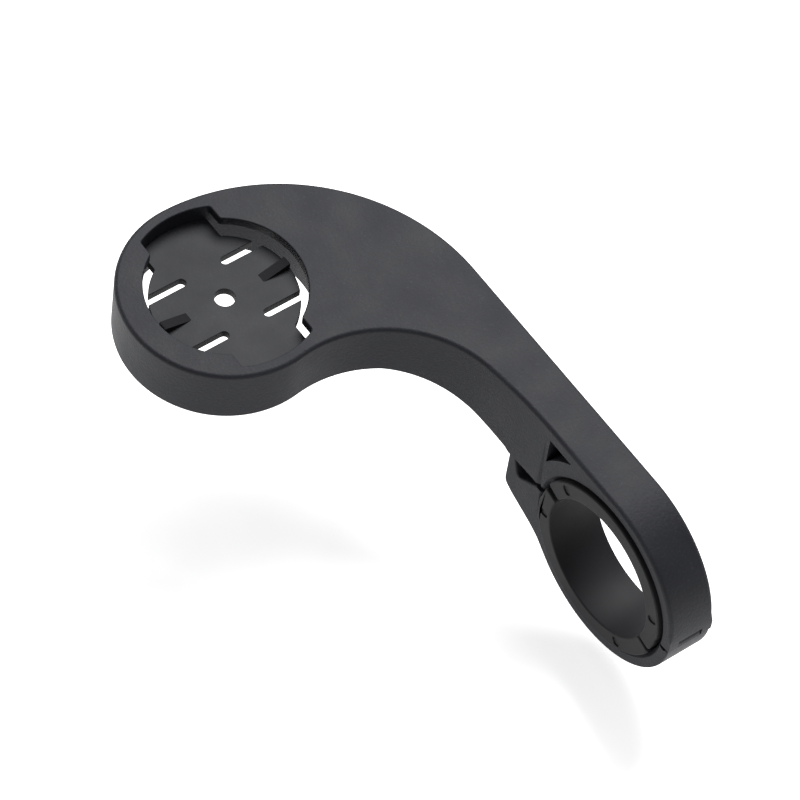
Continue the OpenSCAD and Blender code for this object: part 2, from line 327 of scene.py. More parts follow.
def draw(name, start, moves, axis, chord=1.1 * MM):
    """Draws a line from one vertex: a point is a straight run to it, and a (centre, angle) pair is an
    arc about the axis. Angles follow the right-hand rule, which spin turns against."""
    deselect_all()
    bpy.ops.mesh.primitive_plane_add(size=MM, location=(0, 0, 0), enter_editmode=True)
    piece = named(name)
    bpy.ops.mesh.select_mode(type="VERT")
    bpy.ops.mesh.select_all(action="SELECT")
    bpy.ops.mesh.merge(type="CENTER")
    here = Vector(start)
    bpy.ops.transform.translate(value=here)
    for move in moves:
        if isinstance(move, Vector):
            bpy.ops.mesh.extrude_region_move(TRANSFORM_OT_translate={"value": move - here})
            here = move.copy()
        else:
            centre, turn = move
            steps = max(2, math.ceil((here - centre).length * abs(turn) / chord))
            bpy.ops.mesh.spin(steps=steps, angle=-turn, center=centre, axis=axis)
            here = centre + Matrix.Rotation(turn, 3, axis) @ (here - centre)
    bpy.ops.mesh.select_all(action="SELECT")
    bpy.ops.mesh.remove_doubles(threshold=0.001 * MM)
    return piece


def round_corners(piece, corners, size, steps=3):
    """Rounds the named corners of an outline that is still being drawn."""
    bpy.ops.mesh.select_all(action="DESELECT")
    mesh = bmesh.from_edit_mesh(piece.data)
    for v in mesh.verts:
        v.select = any((v.co - c).length < TOUCH for c in corners)
    mesh.select_flush(True)
    bmesh.update_edit_mesh(piece.data)
    bpy.ops.mesh.bevel(offset=size, segments=steps, affect="VERTICES", clamp_overlap=True)
    bpy.ops.mesh.select_all(action="SELECT")


def fill_and_extrude(piece, along):
    """Fills a drawn outline and pulls it into a solid."""
    bpy.ops.mesh.select_all(action="SELECT")
    bpy.ops.mesh.edge_face_add()
    bpy.ops.mesh.extrude_region_move(TRANSFORM_OT_translate={"value": along})
    close_edit()
    tidy(piece)
    return piece


def lathe(name, centre, axis, outward, profile, steps=96):
    """Turns a profile of (along, radius) points into a solid of revolution."""
    points = [centre + axis * a + outward * r for a, r in profile]
    piece = draw(name, points[0], points[1:], axis)
    bpy.ops.mesh.spin(steps=steps, angle=math.tau, center=centre, axis=axis)
    close_edit()
    tidy(piece)
    return piece


def drum(name, centre, axis, outward, radius, low, high, steps=96):
    """A plain turned cylinder from low to high along its axis."""
    profile = [(low, 0), (low, radius), (high, radius), (high, 0)]
    return lathe(name, centre, axis, outward, profile, steps)


def box_middle(low, high):
    """The foot of the upright axis through the middle of a box."""
    return Vector(((low.x + high.x) / 2, (low.y + high.y) / 2, 0))


def block(name, low, high):
    """A box between two corners."""
    deselect_all()
    bpy.ops.mesh.primitive_cube_add(size=1, location=(low + high) / 2)
    piece = named(name)
    piece.scale = high - low
    bpy.ops.object.transform_apply(location=True, rotation=True, scale=True)
    return piece


def combine(piece, tool, operation="DIFFERENCE"):
    """Cuts a tool out of a piece, or joins or intersects them, and throws the tool away."""
    pick(piece)
    bpy.ops.object.modifier_add(type="BOOLEAN")
    change = piece.modifiers[-1]
    change.operation = operation
    change.solver = "EXACT"
    change.object = tool
    bpy.ops.object.modifier_apply(modifier=change.name)
    bpy.data.objects.remove(tool)
    tidy(piece)
    if not piece.data.polygons:
        raise RuntimeError(f"nothing is left of {piece.name}")
    return piece


def select_edges(piece, wanted, sharper_than=35):
    """Selects the edges that are sharper than an angle and whose middle and direction pass a test."""
    edit(piece, "DESELECT")
    bpy.ops.mesh.select_mode(type="EDGE")
    mesh = bmesh.from_edit_mesh(piece.data)
    limit = math.radians(sharper_than)
    for e in mesh.edges:
        sharp = e.is_manifold and e.calc_face_angle() > limit
        e.select_set(sharp and wanted((e.verts[0].co + e.verts[1].co) / 2))
    bmesh.update_edit_mesh(piece.data)


def round_edges(piece, size, wanted, steps=4, sharper_than=35):
    """Rounds the sharp edges that pass a test."""
    select_edges(piece, wanted, sharper_than)
    bpy.ops.mesh.bevel(offset=size, segments=steps, affect="EDGES", clamp_overlap=False, profile=0.5)
    close_edit()


def slice_across(piece, place, normal):
    """Adds a ring of edges where a plane crosses the piece."""
    edit(piece)
    bpy.ops.mesh.bisect(plane_co=place, plane_no=normal)
    close_edit()


def finish_piece(piece, body, slot, material, *nodes):
    """Shades a piece, gives it its material and puts it in place of its CAD nodes."""
    tidy(piece, 0.002 * MM)
    pick(piece)
    bpy.ops.object.shade_smooth_by_angle(angle=math.radians(32))
    bpy.ops.object.modifier_add(type="WEIGHTED_NORMAL")
    shading = piece.modifiers[-1]
    shading.keep_sharp = True
    bpy.ops.object.modifier_apply(modifier=shading.name)
    piece.data.materials.clear()
    piece.data.materials.append(material)
    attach(piece, body)
    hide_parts(*nodes)
    return piece


def paint_faces(piece, material, wanted):
    """Gives a second material to the faces whose middle passes a test."""
    pick(piece)
    bpy.ops.object.material_slot_add()
    piece.material_slots[-1].material = material
    edit(piece, "DESELECT")
    bpy.ops.mesh.select_mode(type="FACE")
    mesh = bmesh.from_edit_mesh(piece.data)
    for face in mesh.faces:
        face.select_set(wanted(face.calc_center_median()))
    bmesh.update_edit_mesh(piece.data)
    bpy.ops.object.material_slot_assign()
    close_edit()


# ---------------------------------------------------------------- materials


def linear(hex_digits):
    """An sRGB colour given as hex digits, as the linear colour that shaders take."""
    parts = [int(hex_digits[i : i + 2], 16) / 255 for i in (0, 2, 4)]
    return [c / 12.92 if c <= 0.04045 else ((c + 0.055) / 1.055) ** 2.4 for c in parts] + [1.0]


def add_node(tree, kind, inputs=None, **settings):
    """Adds a node with its settings; an input takes a number, a colour or another node's output."""
    made = tree.nodes.new(kind)
    for name, value in settings.items():
        setattr(made, name, value)
    for name, value in (inputs or {}).items():
        if isinstance(value, bpy.types.NodeSocket):
            tree.links.new(value, made.inputs[name])
        else:
            made.inputs[name].default_value = value
    return made


def new_material(name, colour, roughness, metallic=0.0, ior=1.5):
    """A material with its shader and its Object coordinates."""
    material = bpy.data.materials.new(name)
    material.use_nodes = True
    tree = material.node_tree
    tree.nodes.clear()
    shader = add_node(tree, "ShaderNodeBsdfPrincipled")
    shader.inputs["Base Color"].default_value = linear(colour)
    shader.inputs["Roughness"].default_value = roughness
    shader.inputs["Metallic"].default_value = metallic
    shader.inputs["IOR"].default_value = ior
    # a low sheen, so that the white room and floor don't wash out the black
    shader.inputs["Specular IOR Level"].default_value = 0.18
    add_node(tree, "ShaderNodeOutputMaterial", {"Surface": shader.outputs[0]})
    place = add_node(tree, "ShaderNodeTexCoord")
    return material, tree, shader, place.outputs["Object"]


def moulded(name, colour, grain, roughness, depth, speckle):
    """Black glass-filled nylon, injection moulded in a spark-eroded tool: a fine matt grain, a few paler
    points where glass fibres lie at the skin, and faint broad clouds where the melt flowed. The grain and
    the points are drawn several times coarser than real ones, so that they show."""
    material, tree, shader, place = new_material(name, colour, roughness, ior=1.53)
    skin = add_node(
        tree, "ShaderNodeTexNoise", {"Vector": place, "Scale": 1 / grain, "Detail": 3, "Roughness": 0.6}
    )
    pits = add_node(
        tree, "ShaderNodeTexVoronoi", {"Vector": place, "Scale": 0.6 / grain}, feature="SMOOTH_F1"
    )
    relief = add_node(
        tree, "ShaderNodeMath", {0: skin.outputs["Fac"], 1: pits.outputs["Distance"]}, operation="ADD"
    )
    bump = add_node(
        tree, "ShaderNodeBump", {"Height": relief.outputs[0], "Strength": 1.0, "Distance": depth}
    )
    tree.links.new(bump.outputs[0], shader.inputs["Normal"])
    flow = add_node(tree, "ShaderNodeTexNoise", {"Vector": place, "Scale": 1 / FLOW_CLOUD, "Detail": 5})
    clouds = add_node(
        tree, "ShaderNodeMapRange", {"Value": flow.outputs["Fac"], "To Min": 0.55, "To Max": 1.45}
    )
    fibres = add_node(tree, "ShaderNodeTexNoise", {"Vector": place, "Scale": 0.7 / grain, "Detail": 1})
    points = add_node(
        tree,
        "ShaderNodeMapRange",
        {
            "Value": fibres.outputs["Fac"],
            "From Min": 0.6,
            "From Max": 0.8,
            "To Min": 0,
            "To Max": 4 * speckle,
        },
    )
    shades = add_node(
        tree, "ShaderNodeMath", {0: clouds.outputs[0], 1: points.outputs[0]}, operation="ADD"
    )
    tint = add_node(tree, "ShaderNodeVectorMath", {0: linear(colour)[:3]}, operation="SCALE")
    tree.links.new(shades.outputs[0], tint.inputs["Scale"])
    tree.links.new(tint.outputs[0], shader.inputs["Base Color"])
    gloss = add_node(
        tree,
        "ShaderNodeMapRange",
        {"Value": flow.outputs["Fac"], "To Min": roughness - 0.12, "To Max": roughness + 0.12},
    )
    tree.links.new(gloss.outputs[0], shader.inputs["Roughness"])
    return material


def body_nylon(context):
    """The matt nylon that the arm and the jaw share."""
    f = context.scene.mount_finish
    name = "moulded black nylon"
    known = bpy.data.materials.get(name)
    return known or moulded(name, f.body, f.grain, roughness=0.6, depth=0.035 * MM, speckle=0.15)


def worked_metal(name, colour, roughness, stretch, depth):
    """A machined metal: fine tool marks run round or along the piece, as the stretch says, and break up
    its reflections."""
    material, tree, shader, place = new_material(name, colour, roughness, metallic=1.0)
    turned = add_node(tree, "ShaderNodeMapping", {"Vector": place, "Scale": stretch})
    marks = add_node(
        tree, "ShaderNodeTexNoise", {"Vector": turned.outputs[0], "Scale": 1 / TOOL_MARK, "Detail": 3}
    )
    bump = add_node(
        tree, "ShaderNodeBump", {"Height": marks.outputs["Fac"], "Strength": 0.6, "Distance": depth}
    )
    tree.links.new(bump.outputs[0], shader.inputs["Normal"])
    dull = add_node(
        tree,
        "ShaderNodeMapRange",
        {"Value": marks.outputs["Fac"], "To Min": roughness - 0.08, "To Max": roughness + 0.1},
    )
    tree.links.new(dull.outputs[0], shader.inputs["Roughness"])
    return material


# ---------------------------------------------------------------- the arm


def plan(x, y, z):
    """A point on an outline seen from above."""
    return Vector((x, y, z))


def side(y, z, x=-FAR):
    """A point on an outline seen along the bar."""
    return Vector((x, y, z))


def neck_curves(s, inset=0.0):
    """Centres, radii and turns of the arm's outline, drawn in by an inset. The throat's arc touches both
    the shank's shallow curve and the head."""
    outer_r = F.half_w - F.head.x
    outer_y = F.head.y + F.head_r - outer_r
    across = F.half_w + s.shank_r + F.head.x
    forwards = F.head.y - s.shank_y
    both = s.shank_r + F.head_r
    lean = across * math.cos(s.shank_turn) + forwards * math.sin(s.shank_turn)
    reach = (both**2 - across**2 - forwards**2) / (2 * (both - lean))
    shank = (-F.half_w - s.shank_r, s.shank_y)
    throat = (shank[0] + reach * math.cos(s.shank_turn), shank[1] + reach * math.sin(s.shank_turn))
    return SimpleNamespace(
        outer_y=outer_y,
        shank=shank,
        throat=throat,
        throat_r=s.shank_r - reach + inset,
        towards_throat=math.atan2(throat[1] - F.head.y, throat[0] - F.head.x),
    )


def arm_blank(s):
    """The arm's outline from above, pulled up into a tall block."""
    c = neck_curves(s)
    low = -FAR / 2
    back = -F.clamp_r - 2 * MM
    moves = [
        plan(F.half_w, c.outer_y, low),
        (plan(F.head.x, c.outer_y, low), QUARTER),
        (plan(F.head.x, F.head.y, low), c.towards_throat + math.tau - QUARTER),
        (plan(*c.throat, low), s.shank_turn - c.towards_throat - math.pi),
        (plan(*c.shank, low), -s.shank_turn),
        plan(-F.half_w, back, low),
    ]
    blank = draw("arm_moulding", plan(F.half_w, back, low), moves, UP, s.chord)
    return fill_and_extrude(blank, UP * FAR)


def arm_side(s):
    """The arm's side view: clamp half, sloping underside, level head and flat top."""
    inside = -10 * MM
    to_split = QUARTER + math.asin(-F.hinge.z / F.clamp_r)
    moves = [
        side(s.ramp_end_y, s.base_z),
        side(FAR, s.base_z),
        side(FAR, F.top_z),
        side(0, F.top_z),
        (side(0, 0), to_split),
        side(inside, F.hinge.z),
        side(inside, s.split_z),
    ]
    outline = draw("side view", side(F.flange_y, s.split_z), moves, ALONG_BAR, s.chord)
    return fill_and_extrude(outline, ALONG_BAR * 2 * FAR)


def clamp_bore(s):
    """The bore's cutter, bevelled at both mouths of the clamp."""
    flare = s.bore_flare
    past = 2 * MM
    profile = [
        (-F.half_w - past, 0),
        (-F.half_w - past, F.bore_r + flare + past),
        (-F.half_w + flare, F.bore_r),
        (F.half_w - flare, F.bore_r),
        (F.half_w + past, F.bore_r + flare + past),
        (F.half_w + past, 0),
    ]
    return lathe("bore", BAR_AXIS, ALONG_BAR, FORWARD, profile, 144)


def socket_outline(name, w, side_r, z, corner):
    """The socket from above: two lobes of a half width, and side arcs of a radius between them."""
    lobe_y = math.sqrt(F.lobe_r**2 - w**2)
    side_y = math.sqrt(side_r**2 - w**2)
    lobe_turn = math.pi - 2 * math.atan2(lobe_y, w)
    side_turn = 2 * math.atan2(side_y, w)
    centre = plan(F.head.x, F.head.y, z)

    def at(x, y):
        return centre + Vector((x, y, 0))

    moves = []
    for turned in (1, -1):
        if side_r < F.lobe_r:
            moves.append(at(turned * w, turned * lobe_y))
        moves.append((centre, lobe_turn))
        if side_r < F.lobe_r:
            moves.append(at(-turned * w, turned * side_y))
        moves.append((centre, side_turn))
    outline = draw(name, at(w, side_y), moves, UP, 0.7 * MM)
    if side_r < F.lobe_r:
        corners = [at(x * w, y * r) for x in (-1, 1) for y in (-1, 1) for r in (lobe_y, side_y)]
        round_corners(outline, corners, corner)
    return outline


def cut_socket(arm, k):
    """The socket's mouth between its lips, and the wider bore under them that runs through the head."""
    for normal in (ALONG_BAR, FORWARD):
        slice_across(arm, F.head, normal)
    lip_z = F.top_z - k.lip_t
    bore = socket_outline("undercut", k.lobe_w / 2, F.lobe_r, -FAR / 2, 0)
    combine(arm, fill_and_extrude(bore, UP * (lip_z + FAR / 2)))
    mouth = socket_outline("mouth", k.lobe_w / 2, k.mouth_r, lip_z - 0.5 * MM, 0.35 * MM)
    combine(arm, fill_and_extrude(mouth, UP * (k.lip_t + 3 * MM)))
    round_edges(
        arm,
        k.rim_round,
        lambda p: abs(p.z - F.top_z) < TOUCH and (p - F.head).length < F.lobe_r + 0.5 * MM,
        steps=3,
    )


def cut_neck_core(arm, s):
    """The hollow under the neck, with its two ribs left standing."""
    c = neck_curves(s, s.core_wall)
    low = -FAR / 2
    down_to = math.asin((s.core_start_y - c.throat[1]) / c.throat_r)
    moves = [
        plan(F.half_w - s.core_wall, c.outer_y, low),
        (plan(F.head.x, c.outer_y, low), QUARTER),
        plan(F.head.x, c.throat[1] + c.throat_r + MM, low),
        plan(c.throat[0], c.throat[1] + c.throat_r, low),
        (plan(*c.throat, low), down_to - QUARTER),
    ]
    core = draw("core", plan(F.half_w - s.core_wall, s.core_start_y, low), moves, UP, s.chord)
    fill_and_extrude(core, UP * (F.top_z - s.core_roof - low))
    under_head = Vector((F.head.x, F.head.y, 0))
    combine(core, drum("head wall", under_head, UP, FORWARD, F.head_r, 0, FAR, 128))
    rib_start = F.lobe_r + 4 * MM
    for turn in (s.first_rib, s.second_rib):
        rib = block("rib", Vector((rib_start, -s.rib_t / 2, -FAR)), Vector((FAR, s.rib_t / 2, FAR)))
        edit(rib)
        bpy.ops.transform.rotate(value=-turn, orient_axis="Z", center_override=(0, 0, 0))
        bpy.ops.transform.translate(value=under_head)
        close_edit()
        combine(core, rib)
    combine(arm, core)


def cut_side_pockets(arm, s):
    """The blind three-cornered pocket in each side, between the clamp ring and the screw's boss."""
    ring_r = F.bore_r + s.pocket_ring
    roof_z = F.top_z - s.pocket_roof
    high, low = math.asin(roof_z / ring_r), math.acos(s.pocket_front_y / ring_r)
    for start in (-F.half_w - s.pocket_deep, F.half_w - s.pocket_deep):
        top_front = side(s.pocket_front_y, roof_z, start)
        top_back = side(ring_r * math.cos(high), roof_z, start)
        foot = side(s.pocket_front_y, ring_r * math.sin(low), start)
        moves = [top_back, (side(0, 0, start), low - high)]
        pocket = draw("pocket", top_front, moves, ALONG_BAR, s.chord)
        round_corners(pocket, [top_front, top_back, foot], s.pocket_round)
        combine(arm, fill_and_extrude(pocket, ALONG_BAR * 2 * s.pocket_deep))


def cut_hinge_slot(arm, c):
    """The gap between the two hinge ears, and the blind hole for the pin."""
    half = c.knuckle_w / 2 + c.knuckle_gap
    room = c.knuckle_r + 0.3 * MM
    below, ahead = 5 * MM, 1.5 * MM
    back_low = F.hinge + Vector((-half, -below, -below))
    front_high = F.hinge + Vector((half, ahead, room))
    combine(arm, block("gap", back_low, front_high))
    combine(arm, drum("knuckle room", F.hinge, ALONG_BAR, FORWARD, room, -half, half, 48))
    low, high = F.pin
    pin_r = (high.z - low.z) / 2
    combine(arm, drum("pin hole", F.hinge, ALONG_BAR, FORWARD, pin_r, low.x, F.half_w + MM, 48))


def cut_insert_seat(arm):
    """The stepped blind hole that the threaded insert is pressed into."""
    low, high = F.insert
    seat_r, tip_r = (high.x - low.x) / 2, 1.8 * MM
    end = high.z + 2 * MM
    profile = [(0, 0), (0, seat_r), (high.z, seat_r), (high.z, tip_r), (end, tip_r), (end, 0)]
    combine(arm, lathe("insert seat", box_middle(low, high), UP, FORWARD, profile, 48))


class MOUNT_OT_arm(bpy.types.Operator):
    """Builds the arm: clamp half, curved neck and socket head in one moulding"""

    bl_idname = "mount.arm"
    bl_label = "Arm"

    def execute(self, context):
        s, k, c = context.scene.mount_arm, context.scene.mount_socket, context.scene.mount_clamp
        arm = combine(arm_blank(s), arm_side(s), "INTERSECT")
        middle_z = 12 * MM
        clamp_front = F.flange_y / 2
        round_edges(arm, s.top_round, lambda p: p.z > s.split_z and (p.z > middle_z or p.y < clamp_front))
        round_edges(arm, s.base_round, lambda p: p.z < middle_z and p.y > F.flange_y)
        cut_socket(arm, k)
        cut_neck_core(arm, s)
        cut_side_pockets(arm, s)
        combine(arm, clamp_bore(s))
        cut_hinge_slot(arm, c)
        cut_insert_seat(arm)
        finish_piece(arm, "mount_body", "nylon_body", body_nylon(context), "arm")
        return {"FINISHED"}


# ---------------------------------------------------------------- the socket's floor


def floor_point(x, y, z):
    """A point counted from the middle of the socket."""
    return Vector((F.head.x + x, F.head.y + y, z))


def cut_floor_slots(floor, k):
    """Four slots with one round end each, which free the two spring fingers from the floor."""
    low = F.floor_low_z - MM
    half = k.slot_w / 2
    far = F.lobe_r + 2 * MM
    for turned in (1, -1):
        for y in (-k.finger_half_w - half, k.finger_half_w + half):
            centre = floor_point(turned * k.slot_in, turned * y, low)
            moves = [
                floor_point(turned * far, turned * (y - half), low),
                floor_point(turned * far, turned * (y + half), low),
                floor_point(turned * k.slot_in, turned * (y + half), low),
                (centre, math.pi),
            ]
            start = floor_point(turned * k.slot_in, turned * (y - half), low)
            slot = draw("slot", start, moves, UP, 0.25 * MM)
            combine(floor, fill_and_extrude(slot, UP * (k.floor_t + 2 * MM)))


def detent_ramp(k, turned):
    """A wedge on a spring finger, which a tab's ear rides over before it drops behind it."""
    top = F.floor_low_z + k.floor_t
    sunk = top - 0.4 * MM
    y = -turned * k.ramp_w / 2
    end = k.ramp_out + 0.5 * MM
    moves = [
        floor_point(turned * k.ramp_out, y, F.floor_high_z),
        floor_point(turned * end, y, F.floor_high_z),
        floor_point(turned * end, y, sunk),
        floor_point(turned * k.ramp_in, y, sunk),
    ]
    ramp = draw("ramp", floor_point(turned * k.ramp_in, y, top), moves, FORWARD)
    fill_and_extrude(ramp, FORWARD * turned * k.ramp_w)
    round_edges(ramp, k.ramp_round, lambda p: p.z > top + 0.1 * MM, steps=2)
    return ramp


class MOUNT_OT_socket_floor(bpy.types.Operator):
    """Builds the socket's floor with its slots, spring fingers and detent ramps"""

    bl_idname = "mount.socket_floor"
    bl_label = "Socket floor"

    def execute(self, context):
        k, f = context.scene.mount_socket, context.scene.mount_finish
        top = F.floor_low_z + k.floor_t
        half = k.lobe_w / 2 - k.side_gap
        plate = socket_outline("socket_plate", half, k.floor_r, F.floor_low_z, 0.2 * MM)
        fill_and_extrude(plate, UP * k.floor_t)
        for normal in (ALONG_BAR, FORWARD):
            slice_across(plate, floor_point(0, 0, 0), normal)
        low, high = -MM, k.floor_t + MM
        centre = floor_point(0, 0, F.floor_low_z)
        combine(plate, drum("hole", centre, UP, FORWARD, k.hole_d / 2, low, high, 32))
        cut_floor_slots(plate, k)
        round_edges(plate, k.floor_round, lambda p: abs(p.z - top) < TOUCH, steps=2)
        for turned in (1, -1):
            combine(plate, detent_ramp(k, turned), "UNION")
        # the socket is moulded on a polished core, so it shows more sheen than the body
        smooth = moulded(
            "smooth black nylon", f.socket, f.grain, roughness=0.58, depth=0.012 * MM, speckle=0.1
        )
        finish_piece(plate, "mount_body", "nylon_socket", smooth, "socket_floor")
        # the ramps are eroded more deeply, so they look darker and flat
        rough = moulded(
            "coarsely eroded black nylon", f.ramp, f.grain, roughness=0.85, depth=0.05 * MM, speckle=0.1
        )
        paint_faces(plate, rough, lambda p: p.z > top + 0.03 * MM)
        return {"FINISHED"}


# ---------------------------------------------------------------- the clamp's jaw and liner


def jaw_blank(s):
    """The jaw's side view: a half ring that runs out into a flange with an upturned nose. Behind the
    hinge its split face slopes away, so that the arm's ears have room while the jaw swings open."""
    low = -F.half_w
    split_z = F.hinge.z - 0.1 * MM
    ear_relief, ring_front, nose_t = math.radians(9), math.radians(-47), 1.6 * MM
    heel_z = split_z - (F.jaw_r + F.hinge.y) * math.tan(ear_relief)
    round_from = math.pi + math.asin(-heel_z / F.jaw_r)
    round_to = math.tau + ring_front
    start = side(F.jaw_r * math.cos(round_from), F.jaw_r * math.sin(round_from), low)
    front = F.flange_y
    heel = [side(15.3 * MM, -11 * MM, low), side(17.4 * MM, -9.75 * MM, low)]
    toe = [
        side(front - 2 * MM, -7.35 * MM, low),
        side(front - 0.3 * MM, -6.3 * MM, low),
        side(front, -5.3 * MM, low),
    ]
    nose = [side(front, F.nose_z, low), side(front - nose_t, F.nose_z, low)]
    dish = [side(front - 2.8 * MM, -1.9 * MM, low), side(17.7 * MM, 1.2 * MM, low)]
    inside = [side(0, 1.2 * MM, low), side(0, split_z, low), side(F.hinge.y, split_z, low)]
    moves = [(side(0, 0, low), round_to - round_from)] + heel + toe + nose + dish + inside
    jaw = draw("jaw", start, moves, ALONG_BAR, s.chord)
    round_corners(jaw, heel + toe, 0.8 * MM)
    round_corners(jaw, nose, 0.3 * MM)
    round_corners(jaw, dish[:1], 1.2 * MM)
    return fill_and_extrude(jaw, ALONG_BAR * 2 * F.half_w)


def obround(name, c, radius, z, height):
    """A standing slot-shaped block around the screw's hole, long enough for the jaw's swing."""
    near = box_middle(*F.screw) + UP * z
    far = near + FORWARD * c.swing_room
    across = ALONG_BAR * radius
    moves = [far + across, (far, math.pi), near - across, (near, math.pi)]
    return fill_and_extrude(draw(name, near + across, moves, UP, 0.4 * MM), UP * height)


class MOUNT_OT_clamp_jaw(bpy.types.Operator):
    """Builds the clamp's lower jaw with its knuckle, flange and screw pocket"""

    bl_idname = "mount.clamp_jaw"
    bl_label = "Clamp jaw"

    def execute(self, context):
        s, c = context.scene.mount_arm, context.scene.mount_clamp
        jaw = jaw_blank(s)
        half = c.knuckle_w / 2

        def outer_edge(p):
            return abs(abs(p.x) - F.half_w) < TOUCH and p.length > F.bore_r

        round_edges(jaw, c.edge_round, outer_edge, 3)
        combine(jaw, drum("knuckle", F.hinge, ALONG_BAR, FORWARD, c.knuckle_r, -half, half, 48), "UNION")
        combine(jaw, clamp_bore(s))
        pin_play = 0.05 * MM
        pin_r = (F.pin[1].z - F.pin[0].z) / 2 + pin_play
        combine(jaw, drum("pin bore", F.hinge, ALONG_BAR, FORWARD, pin_r, -3 * half, 3 * half, 48))
        combine(jaw, obround("screw hole", c, c.hole_r, c.seat_z - FAR / 2, FAR))
        combine(jaw, obround("screw pocket", c, c.pocket_r, c.seat_z - FAR / 2, FAR / 2))
        finish_piece(jaw, "jaw", "nylon_body", body_nylon(context), "clamp_jaw")
        return {"FINISHED"}


def liner_half(name, c, start, full_turn, relieved_turn):
    """Half of the liner, seen along the bar: an arc of full thickness and then one whose outside is
    drawn in, where the end crosses into the other half of the clamp. Its ends are rounded."""
    low = -F.liner_half_w
    centre = side(0, 0, low)
    step, end = start + full_turn, start + full_turn + relieved_turn
    slope = math.radians(4)

    def at(radius, turn):
        return side(radius * math.cos(turn), radius * math.sin(turn), low)

    relieved_r = F.bore_r - c.liner_relief
    corners = [at(F.bar_r, start), at(F.bar_r, end), at(relieved_r, end), at(F.bore_r, start)]
    moves = [
        (centre, end - start),
        corners[2],
        (centre, slope - relieved_turn),
        at(F.bore_r, step),
        (centre, -full_turn),
        corners[0],
    ]
    half = draw(name, corners[0], moves, ALONG_BAR, 0.6 * MM)
    round_corners(half, corners, c.liner_end, 4)
    fill_and_extrude(half, ALONG_BAR * 2 * F.liner_half_w)
    # short side faces shade evenly, and one that bends half way round the bar doesn't
    for degrees in (30, 75, 120, 160):
        turn = math.radians(degrees)
        slice_across(half, BAR_AXIS, Vector((0, -math.sin(turn), math.cos(turn))))
    return half


def dimple_middle(c, turn, sign):
    """The middle of a dimple in one of the liner's side faces."""
    return side(c.dimple_r * math.cos(turn), c.dimple_r * math.sin(turn), sign * F.liner_half_w)


def on_rim(place, c, turn, sign):
    """Whether a place lies on the rim of a dimple."""
    middle = dimple_middle(c, turn, sign)
    reach = c.dimple_long + 0.15 * MM
    return abs(place.x - middle.x) < TOUCH and (place - middle).length < reach


def press_dimple(half, c, turn, sign):
    """A shallow oval dimple in a side face of the liner, with a soft rim."""
    size = Vector((c.dimple_deep, c.dimple_long, c.dimple_wide))
    centre = dimple_middle(c, 0, sign)
    dimple = block("dimple", centre - size, centre + size)
    round_edges(dimple, c.dimple_corner, lambda p: abs(p.x - centre.x) < TOUCH, 4)
    edit(dimple)
    bpy.ops.transform.rotate(value=-turn, orient_axis="X", center_override=(0, 0, 0))
    close_edit()
    combine(half, dimple)
    round_edges(half, c.dimple_rim, lambda p: on_rim(p, c, turn, sign), 2)


class MOUNT_OT_liner(bpy.types.Operator):
    """Builds the two halves of the liner that fills the clamp down to the bar"""

    bl_idname = "mount.liner"
    bl_label = "Liner halves"

    def execute(self, context):
        c, f = context.scene.mount_clamp, context.scene.mount_finish
        # a polished mould gives the liner a satin skin with hardly any grain
        satin = moulded(
            "satin black liner", f.liner, f.grain, roughness=0.62, depth=0.006 * MM, speckle=0.05
        )
        # each half starts at an angle around the bar, and its dimples are at two more
        halves = (
            ("liner_half_upper", 24, 156, 19, (44, 167), "mount_body", "liner_upper"),
            ("liner_half_lower", 201, 162, 15, (-7, -122), "jaw", "liner_lower"),
        )
        for name, start, full, relieved, dimples, body, node in halves:
            half = liner_half(name, c, math.radians(start), math.radians(full), math.radians(relieved))
            pressed = [(math.radians(degrees), sign) for degrees in dimples for sign in (-1, 1)]
            for turn, sign in pressed:
                press_dimple(half, c, turn, sign)

            def side_edge(p):
                at_side = abs(abs(p.x) - F.liner_half_w) < TOUCH
                return at_side and not any(on_rim(p, c, *dimple) for dimple in pressed)

            round_edges(half, c.liner_round, side_edge, 3)
            finish_piece(half, body, "liner", satin, node)
        return {"FINISHED"}


# ---------------------------------------------------------------- fasteners


def thread(name, foot, low_z, high_z, outer_r, pitch, depth, start):
    """A real helical thread: one tooth's outline, wound up by a Screw modifier and cut off square."""
    middle, crest = pitch / 2, pitch / 16
    tooth = [(0, 0), (pitch / 8, 0), (middle - crest, depth), (middle + crest, depth), (pitch, 0)]
    root_r = outer_r - depth
    aside = Matrix.Rotation(start, 3, UP)
    points = [foot + aside @ Vector((root_r + out, 0, low_z - 2 * pitch + up)) for up, out in tooth]
    rod = draw(name, points[0], points[1:], UP)
    bpy.ops.transform.translate(value=-foot)
    close_edit()
    pick(rod)
    bpy.ops.object.modifier_add(type="SCREW")
    wind = rod.modifiers[-1]
    wind.axis = "Z"
    wind.screw_offset = pitch
    wind.iterations = math.ceil((high_z - low_z) / pitch) + 4
    wind.steps = wind.render_steps = 24
    wind.use_merge_vertices = True
    wind.merge_threshold = 0.001 * MM
    bpy.ops.object.modifier_apply(modifier=wind.name)
    edit(rod)
    bpy.ops.mesh.remove_doubles(threshold=0.001 * MM)
    bpy.ops.transform.translate(value=foot)
    for z, normal in ((high_z, UP), (low_z, -UP)):
        bpy.ops.mesh.select_all(action="SELECT")
        bpy.ops.mesh.bisect(plane_co=foot + UP * z, plane_no=normal, use_fill=True, clear_outer=True)
    close_edit()
    tidy(rod)
    return rod


